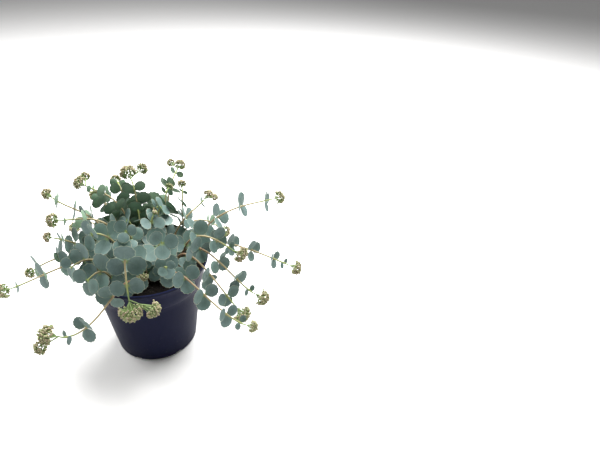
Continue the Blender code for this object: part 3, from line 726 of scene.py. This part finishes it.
def add_blade(shape, leaf, draw):
    """Adds one fine leaf to a shape, with what its finish reads at each of its points."""
    verts = copy_in(shape, plain_leaf)
    margin = shape.verts.layers.float["margin"]
    spot = shape.verts.layers.float_vector["blade"]
    tone = shape.verts.layers.float["tone"]
    side = leaf.face.cross(leaf.along)
    own_tone = draw.random()
    odd_teeth = draw.choice((0, 1))
    wave, wave_start = draw.uniform(*EDGE_WAVE), draw.uniform(0, math.tau)
    fold = draw.uniform(*FOLD)
    droop = draw.uniform(*DROOP)
    for vert in verts:
        ball = vert.co.copy()
        out = min(1, math.hypot(ball.x, ball.y))
        angle = math.degrees(math.atan2(ball.y, ball.x)) if out > 0.001 else 0
        radius = outline_radius(abs(angle))
        toothed = max(0, min(1, (TOOTHED_TO - abs(angle)) / TOOTH_FADE))
        notch = (round(angle * BLADE_SIDES / 360) + odd_teeth) % 2
        radius -= TOOTH_DEPTH * toothed * notch * out ** 4
        along = LEAF_MIDDLE + radius * out * math.cos(math.radians(angle))
        across = radius * out * math.sin(math.radians(angle))
        rise = -leaf.cup * (1 - out ** CUP_CURVE)
        rise += leaf.length * (fold * abs(across) * (1 - out ** 2) - droop * (along - 0.5) * out ** 2
                               + wave * out ** 3 * math.sin(EDGE_WAVES * math.radians(angle) + wave_start))
        rise *= 1 - max(0, 1 - along / FOOT_FLAT)
        half = BLADE_THICKNESS / 2 * abs(ball.z) ** EDGE_CURVE * math.copysign(1, ball.z)
        vert.co = (leaf.foot + leaf.along * (along * leaf.length) + side * (across * leaf.length)
                   + leaf.face * (rise + half))
        vert[margin] = out
        vert[spot] = (across, along, math.copysign(min(1, abs(ball.z) * 4), ball.z))
        vert[tone] = own_tone


def add_stalk(shape, points, ways, places):
    """Adds a stem's stalk: a ring drawn along its route, swollen a little where leaves grow."""
    age = shape.verts.layers.float["age"]
    steps = sorted({0, len(points) - 1, *range(0, len(points), STALK_STRIDE), *places})
    total = length_of(points)
    ring = bmesh.ops.create_circle(shape, cap_ends=True, segments=STALK_SIDES, radius=1)["verts"]
    faces = set(face for vert in ring for face in vert.link_faces)
    turn = ways[0].to_track_quat("Z", "Y")
    before = Matrix.Identity(4)
    travelled = 0
    for count, step in enumerate(steps):
        if count:
            travelled += length_of(points[steps[count - 1]:step + 1])
            turn = ways[steps[count - 1]].rotation_difference(ways[step]) @ turn
            grown = bmesh.ops.extrude_edge_only(shape, edges=ring_edges)["geom"]
            faces.update(part for part in grown if isinstance(part, bmesh.types.BMFace))
            ring = [part for part in grown if isinstance(part, bmesh.types.BMVert)]
            ring_edges = [part for part in grown if isinstance(part, bmesh.types.BMEdge)]
            ring_edges = [edge for edge in ring_edges if all(vert in ring for vert in edge.verts)]
        else:
            ring_edges = list({edge for vert in ring for edge in vert.link_edges})
        share = travelled / total
        away = [(points[step] - points[place]).length / JOINT_LENGTH for place in places]
        swelling = min(1, sum(math.exp(-distance ** 2) for distance in away))
        radius = STEM_RADIUS * (1 - share * (1 - TIP_RADIUS_SHARE)) * (1 + JOINT_SWELLING * swelling)
        after = Matrix.LocRotScale(points[step], turn, Vector((radius,) * 3))
        bmesh.ops.transform(shape, matrix=after @ before.inverted(), verts=ring)
        before = after
        for vert in ring:
            vert[age] = share
    bmesh.ops.holes_fill(shape, edges=ring_edges, sides=0)
    faces.update(face for edge in ring_edges for face in edge.link_faces)
    for face in faces:
        face.material_index = STALK_FINISH


def leafy_piece(name, stem, points, ways, leaves, draw, *nodes):
    """Makes a stalk and its leaves a piece. A stalk without a bud head ends at its outermost whorl."""
    shape = bmesh.new()
    for layer in ("margin", "tone", "age"):
        shape.verts.layers.float.new(layer)
    shape.verts.layers.float_vector.new("blade")
    for leaf in leaves:
        add_blade(shape, leaf, draw)
    places = list(whorl_places(points, stem.first, stem.gap).values())
    if not stem.head:
        points = points[:places[0] + 2]
    add_stalk(shape, points, ways, places)
    bmesh.ops.recalc_face_normals(shape, faces=shape.faces)
    piece_of(name, shape, [glaucous, stalk], "leaf", *nodes, sharp_from=70)


glaucous = Finish("glaucous_leaf", {"Specular IOR Level": 0.35})
blade = glaucous.read("blade", "Vector")
across = glaucous.part_of(blade, "X")
along = glaucous.part_of(blade, "Y")
upper = glaucous.from_to(glaucous.part_of(blade, "Z"), -0.3, 0.3)
own_tone = glaucous.read("tone")
rim = glaucous.read("margin")
spot = glaucous.place()
bloom = glaucous.grain(spot, 260, 4, 0.6)
fine_bloom = glaucous.grain(spot, 1500, 2)
top = glaucous.tint(bloom, (0.076, 0.134, 0.127, 1), (0.176, 0.252, 0.240, 1))
top = glaucous.tint(own_tone * 0.5, top, (0.145, 0.235, 0.195, 1))
# The undersides are painted a paler green than the tops: partly their own paler colour, and partly painted
# light, for the light from behind that shines through the leaves.
under = glaucous.tint(bloom, (0.150, 0.255, 0.155, 1), (0.270, 0.390, 0.265, 1))
under = glaucous.tint(own_tone * 0.6, under, (0.200, 0.300, 0.210, 1))
colour = glaucous.tint(upper, under, top)
# Painted shade: the middle of each leaf's upper face is painted darker, more on some leaves than others, for
# the shade that falls in its cup.
painted_cup_shade = glaucous.from_to(rim, 0.75, 0.10)
colour = glaucous.tint(painted_cup_shade * upper * (0.10 + own_tone * 0.35), colour, (0.050, 0.092, 0.084, 1))
midrib = glaucous.from_to(abs(across), 0.022, 0.0) * glaucous.from_to(along, 0.75, 0.1)
colour = glaucous.tint(midrib * 0.35, colour, (0.30, 0.40, 0.26, 1))
colour = glaucous.tint(glaucous.from_to(along, 0.20, 0.03) * 0.8, colour, (0.27, 0.38, 0.10, 1))
edge_break = 0.35 + glaucous.from_to(glaucous.grain(spot, 330, 2), 0.30, 0.62) * 0.65
edge_line = glaucous.from_to(rim, 0.94, 0.99) * edge_break * glaucous.from_to(along, 0.15, 0.35)
edge_colour = glaucous.tint(own_tone, (0.72, 0.76, 0.52, 1), (0.70, 0.60, 0.48, 1))
colour = glaucous.tint(edge_line * 0.75, colour, edge_colour)
glaucous.feed("Base Color", colour)
glaucous.feed("Roughness", 0.46 + bloom * 0.16 + fine_bloom * 0.06)
glaucous.feed("Normal", glaucous.emboss(fine_bloom, 0.00006, 0.8, glaucous.emboss(bloom, 0.0005, 0.4)))

stalk = Finish("fleshy_stalk", {"Specular IOR Level": 0.35})
age = stalk.read("age")
spot = stalk.place()
streak = stalk.grain(spot, 500, 3)
colour = stalk.tint(stalk.from_to(age, 0.30, 0.72), (0.30, 0.175, 0.110, 1), (0.46, 0.39, 0.215, 1))
colour = stalk.tint(stalk.from_to(age, 0.80, 1.0), colour, (0.33, 0.42, 0.13, 1))
stalk.feed("Base Color", stalk.tint(streak * 0.3, colour, (0.22, 0.15, 0.09, 1)))
stalk.feed("Roughness", 0.45 + streak * 0.15)
stalk.feed("Normal", stalk.emboss(streak, 0.0002))

routes = [route(stem) for stem in STEMS]
thicket = Thicket(STEMS, routes)
place_draw = random.Random(LEAF_SEED)
grow_leaves(thicket, STEMS, routes, place_draw, 0, SOLID_WHORLS)
grow_leaves(thicket, STEMS, routes, place_draw, SOLID_WHORLS + 1, ALL_WHORLS)
mend_whorls(thicket, STEMS, routes, place_draw)
plain_leaf = blade_mesh()
blade_draw = random.Random(BLADE_SEED)
for number, (stem, (points, ways, _)) in enumerate(zip(STEMS, routes)):
    own_leaves = [leaf for leaf, _, _ in thicket.leaves if leaf.stem == number]
    leafy_piece(f"leafy_stem_{number + 1:02d}", stem, points, ways, own_leaves, blade_draw,
                f"stem_{number + 1:02d}")


# The young shoots are short stems with leaves and no bud head, of the same flesh as the leafy stems. They
# come up from the compost between the long stems, wherever there is room for a stalk, and fill the crown.
YOUNG_SHOOTS = 46
YOUNG_TRIES = 2000
YOUNG_FEWEST_LEAVES = 4
YOUNG_WHORLS = 6
YOUNG_TURNS = ((195, 330), (0, 360), (70, 170))
YOUNG_REACH = 0.048
YOUNG_TOPS = (0.106, 0.124)
YOUNG_ARCH = 0.004
YOUNG_SWING = 8
YOUNG_LEAN = (0.004, 0.018)
YOUNG_FIRST = (0.0030, 0.0125)
YOUNG_GAPS = (0.008, 0.012)
YOUNG_LEAVES = (0.0125, 0.0185)
YOUNG_LIFT = 0.35 * (UP + BRIGHT_SIDE)
CROWN_RISE = 0.038
CROWN_REACH = 0.040
STALK_ROOM = 0.0027
STALKS_WITHIN = 0.05
LEAF_ROOM = 0.0012
LEAVES_WITHIN = 0.06


def young_stem(draw):
    """A young shoot at a place drawn at random, written as in the table of stems."""
    turn = draw.choice([draw.uniform(low, high) for low, high in YOUNG_TURNS])
    reach = YOUNG_REACH * math.sqrt(draw.random())
    top = draw.uniform(*YOUNG_TOPS) + CROWN_RISE * max(0, 1 - reach / CROWN_REACH)
    tip_turn = turn + draw.uniform(-YOUNG_SWING, YOUNG_SWING)
    tip_reach = reach + draw.uniform(*YOUNG_LEAN)
    first = draw.choice(YOUNG_FIRST)
    return Stem(turn, reach, tip_turn, tip_reach, top - YOUNG_ARCH, top, top, 0, None, first,
                draw.uniform(*YOUNG_GAPS), draw.uniform(*YOUNG_LEAVES))


def has_room(points, other_routes):
    """Whether a young stalk stands clear of all the other stalks, and of the leaves of the long stems."""
    foot = points[0]
    others = [point for run, _, _ in other_routes for point in run if (point - foot).length < STALKS_WITHIN]
    if any((point - other).length <= STALK_ROOM for point in points[::8] for other in others):
        return False
    near = [shape for _, middle, shape in thicket.leaves if (middle - foot).length < LEAVES_WITHIN]
    return not any(shape.find_nearest(point, LEAF_ROOM)[0] for point in points[::4] for shape in near)


young_stems = []
young_routes = []
for attempt in range(YOUNG_TRIES):
    if len(young_stems) == YOUNG_SHOOTS:
        break
    young = young_stem(place_draw)
    young_route = route(young)
    if has_room(young_route[0], routes + young_routes):
        young_stems.append(young)
        young_routes.append(young_route)
all_stems, all_routes = [*STEMS, *young_stems], routes + young_routes
crowded = Thicket(all_stems, all_routes)
crowded.leaves = thicket.leaves
grow_leaves(crowded, all_stems, all_routes, place_draw, 0, YOUNG_WHORLS, len(STEMS), YOUNG_LIFT)
for number, (stem, (points, ways, _)) in enumerate(zip(young_stems, young_routes)):
    own_leaves = [leaf for leaf, _, _ in crowded.leaves if leaf.stem == len(STEMS) + number]
    if len(own_leaves) >= YOUNG_FEWEST_LEAVES:
        leafy_piece(f"young_shoot_{number + 1:02d}", stem, points, ways, own_leaves, blade_draw)


# The bud heads stand at the ends of the older stems. Each is a dome of small round buds on thin green
# branchlets, which fork twice from the stem's end, and some have a second, smaller dome beside the first.
DOME_SPREAD = 106
GOLDEN_TURN = 137.508
SPOT_SWING = 9
FORK_PLACE = 0.45
SUNK_IN_STEM = 0.0008
HUB_SPACING = 0.0085
HUB_FEWEST = 5
HUB_DEPTH = 0.50
HUB_SPREAD = (0.85, 1.10)
BRANCH_RADII = (0.00042, 0.00030)
BRANCHLET_RADII = (0.00028, 0.00022)
BUD_SPACING = 0.0025
BUD_RADIUS = 0.00096
BUD_SIZES = (0.80, 1.15)
BUD_DEPTHS = (0.80, 1.00)
BUD_LENGTH = 1.25
BUD_MARGIN = 1.3
BUD_PINCH = 0.35
HEAD_RIPENESS = (0.7, 1.0)
BUD_RIPENESS = (0.45, 1.0)
BUD_SEED = 8


def rod_mesh():
    """A plain rod from the origin to one metre up, to be copied and shaped."""
    shape = bmesh.new()
    bmesh.ops.create_cone(shape, segments=5, radius1=1, radius2=1, depth=1,
                          matrix=Matrix.Translation((0, 0, 0.5)))
    mesh = bpy.data.meshes.new("rod")
    shape.to_mesh(mesh)
    shape.free()
    return mesh


bud_ball = ball_mesh(7, 5)
rod = rod_mesh()


def add_branchlet(shape, start, end, thick, thin):
    """Adds a thin tapered branchlet between two points."""
    way = end - start
    place = Matrix.LocRotScale(start, way.to_track_quat("Z", "Y"), Vector((1, 1, way.length)))
    for vert in copy_in(shape, rod):
        radius = thin if vert.co.z > 0.5 else thick
        vert.co = place @ Vector((vert.co.x * radius, vert.co.y * radius, vert.co.z))


def add_bud(shape, tip, way, size, own_ripe):
    """Adds one bud: a small ball drawn to a blunt point, on a green foot."""
    verts = copy_in(shape, bud_ball)
    ripe = shape.verts.layers.float["ripe"]
    place = Matrix.LocRotScale(tip, way.to_track_quat("Z", "Y"), Vector((size, size, size * BUD_LENGTH)))
    for vert in verts:
        up = vert.co.z
        pinch = 1 - BUD_PINCH * max(0, up) ** 2
        vert[ripe] = own_ripe * max(0, min(1, 0.75 + 0.6 * up))
        vert.co = place @ Vector((vert.co.x * pinch, vert.co.y * pinch, up))


def spread_over(count, number, draw):
    """The way to one of so many spots that are spread evenly over a dome about +Z."""
    tilt = math.acos(1 - (number + 0.5) / count * (1 - math.cos(math.radians(DOME_SPREAD))))
    spin = math.radians(number * GOLDEN_TURN + draw.uniform(-SPOT_SWING, SPOT_SWING))
    return Vector((math.sin(tilt) * math.cos(spin), math.sin(tilt) * math.sin(spin), math.cos(tilt)))


def grow_dome(centre, radius, start, draw, ripeness):
    """The branchlets and buds of a dome: buds all over it, each on a branchlet from the nearest fork.

    No bud stands out of the box of the solids.
    """
    way = (centre - start).normalized()
    turn = way.to_track_quat("Z", "Y")
    cap = math.tau * radius ** 2 * (1 - math.cos(math.radians(DOME_SPREAD)))
    fork = start.lerp(centre, FORK_PLACE)
    twigs = [(start - way * SUNK_IN_STEM, fork, STEM_RADIUS * TIP_RADIUS_SHARE, STEM_RADIUS * 0.5)]
    hub_count = max(HUB_FEWEST, round(cap / HUB_SPACING ** 2))
    hubs = []
    for number in range(hub_count):
        out = turn @ spread_over(hub_count, number, draw)
        hubs.append(centre + out * (radius * HUB_DEPTH * draw.uniform(*HUB_SPREAD)))
    twigs += [(fork, hub, *BRANCH_RADII) for hub in hubs]
    buds = []
    bud_count = round(cap / BUD_SPACING ** 2)
    for number in range(bud_count):
        size = BUD_RADIUS * draw.uniform(*BUD_SIZES)
        out = turn @ spread_over(bud_count, number, draw)
        tip = centre + out * (radius * draw.uniform(*BUD_DEPTHS) - size * 1.2)
        margin = size * BUD_MARGIN
        for axis in range(3):
            tip[axis] = min(max(tip[axis], cad_box[0][axis] + margin), cad_box[1][axis] - margin)
        hub = min(hubs, key=lambda spot: (spot - tip).length)
        twigs.append((hub, tip, *BRANCHLET_RADII))
        buds.append((tip, (tip - hub).normalized(), size, ripeness * draw.uniform(*BUD_RIPENESS)))
    return twigs, buds


bud_finish = Finish("bud_and_branchlet", {"Specular IOR Level": 0.35})
ripe = bud_finish.read("ripe")
spot = bud_finish.place()
mottle = bud_finish.grain(spot, 700, 2)
ripe_colour = bud_finish.tint(mottle, (0.250, 0.185, 0.110, 1), (0.500, 0.425, 0.290, 1))
green_colour = bud_finish.tint(mottle, (0.17, 0.27, 0.085, 1), (0.32, 0.42, 0.17, 1))
colour = bud_finish.tint(bud_finish.from_to(ripe, 0.05, 0.75), green_colour, ripe_colour)
bud_finish.feed("Base Color", colour)
bud_finish.feed("Roughness", 0.48 + mottle * 0.14)
bud_finish.feed("Normal", bud_finish.emboss(mottle, 0.0002))

bud_draw = random.Random(BUD_SEED)
for number, (stem, (points, _, middle)) in enumerate(zip(STEMS, routes)):
    if not stem.head:
        continue
    shape = bmesh.new()
    shape.verts.layers.float.new("ripe")
    domes = [grow_dome(*place, bud_draw, bud_draw.uniform(*HEAD_RIPENESS))
             for place in dome_places(stem, points[-1], middle)]
    for _, buds in domes:
        for each in buds:
            add_bud(shape, *each)
    for twigs, _ in domes:
        for each in twigs:
            add_branchlet(shape, *each)
    bmesh.ops.recalc_face_normals(shape, faces=shape.faces)
    piece_of(f"bud_head_{number + 1:02d}", shape, [bud_finish], "bud", f"head_{number + 1:02d}",
             sharp_from=75)


# The stage is a wide pale floor under two soft lights, a strong one above and behind the pot and a weaker one
# at its left, with a little even white light from all around. The camera looks down at the pot.
FLOOR_SIZE = 6
LIGHT_ALL_AROUND = 0.20
LIGHTS = (("window", (0.30, 0.60, 1.10), 1.1, 46.0),
          ("second window", (-0.95, 0.25, 0.95), 0.9, 17.0))
LIGHTS_FACE = Vector((0, 0, 0.1))
CAMERA_PLACE = (0.15024, -0.41207, 0.40540)
CAMERA_DOWN = math.radians(32.4725)
CAMERA_ROLL = math.radians(-1.7076)
CAMERA_LENS = 31.2
SENSOR_WIDTH = 36

floor_shape = bmesh.new()
bmesh.ops.create_grid(floor_shape, x_segments=1, y_segments=1, size=FLOOR_SIZE)
floor_mesh = bpy.data.meshes.new("floor")
floor_shape.to_mesh(floor_mesh)
floor_shape.free()
floor = bpy.data.objects.new("floor", floor_mesh)
bpy.context.scene.collection.objects.link(floor)
pale = Finish("pale_floor")
spot = pale.place()
colour = pale.tint(pale.grain(spot, 30, 3), (0.90, 0.892, 0.882, 1), (0.93, 0.926, 0.918, 1))
pale.feed("Base Color", colour)
pale.feed("Roughness", 0.75 + pale.grain(spot, 300, 2) * 0.15)
floor.data.materials.append(pale.material)

world = bpy.data.worlds.new("white room")
world.use_nodes = True
background = world.node_tree.nodes["Background"]
background.inputs["Color"].default_value = (1.0, 1.0, 1.0, 1)
background.inputs["Strength"].default_value = LIGHT_ALL_AROUND
bpy.context.scene.world = world
bpy.context.scene.view_settings.view_transform = "Standard"

for name, place, size, power in LIGHTS:
    lamp = bpy.data.lights.new(name, "AREA")
    lamp.shape = "SQUARE"
    lamp.size = size
    lamp.energy = power
    light = bpy.data.objects.new(name, lamp)
    light.location = place
    light.rotation_euler = (LIGHTS_FACE - Vector(place)).to_track_quat("-Z", "Y").to_euler()
    bpy.context.scene.collection.objects.link(light)

level_right = Vector((1, 0, 0))
looks = Vector((0, math.cos(CAMERA_DOWN), -math.sin(CAMERA_DOWN)))
above = Vector((0, math.sin(CAMERA_DOWN), math.cos(CAMERA_DOWN)))
right = level_right * math.cos(CAMERA_ROLL) - above * math.sin(CAMERA_ROLL)
above = level_right * math.sin(CAMERA_ROLL) + above * math.cos(CAMERA_ROLL)
lens = bpy.data.cameras.new("camera")
lens.sensor_width = SENSOR_WIDTH
lens.sensor_fit = "HORIZONTAL"
lens.lens = CAMERA_LENS
camera = bpy.data.objects.new("camera", lens)
turned_to = Matrix((right, above, -looks)).transposed().to_4x4()
camera.matrix_world = Matrix.Translation(CAMERA_PLACE) @ turned_to
bpy.context.scene.collection.objects.link(camera)
bpy.context.scene.camera = camera
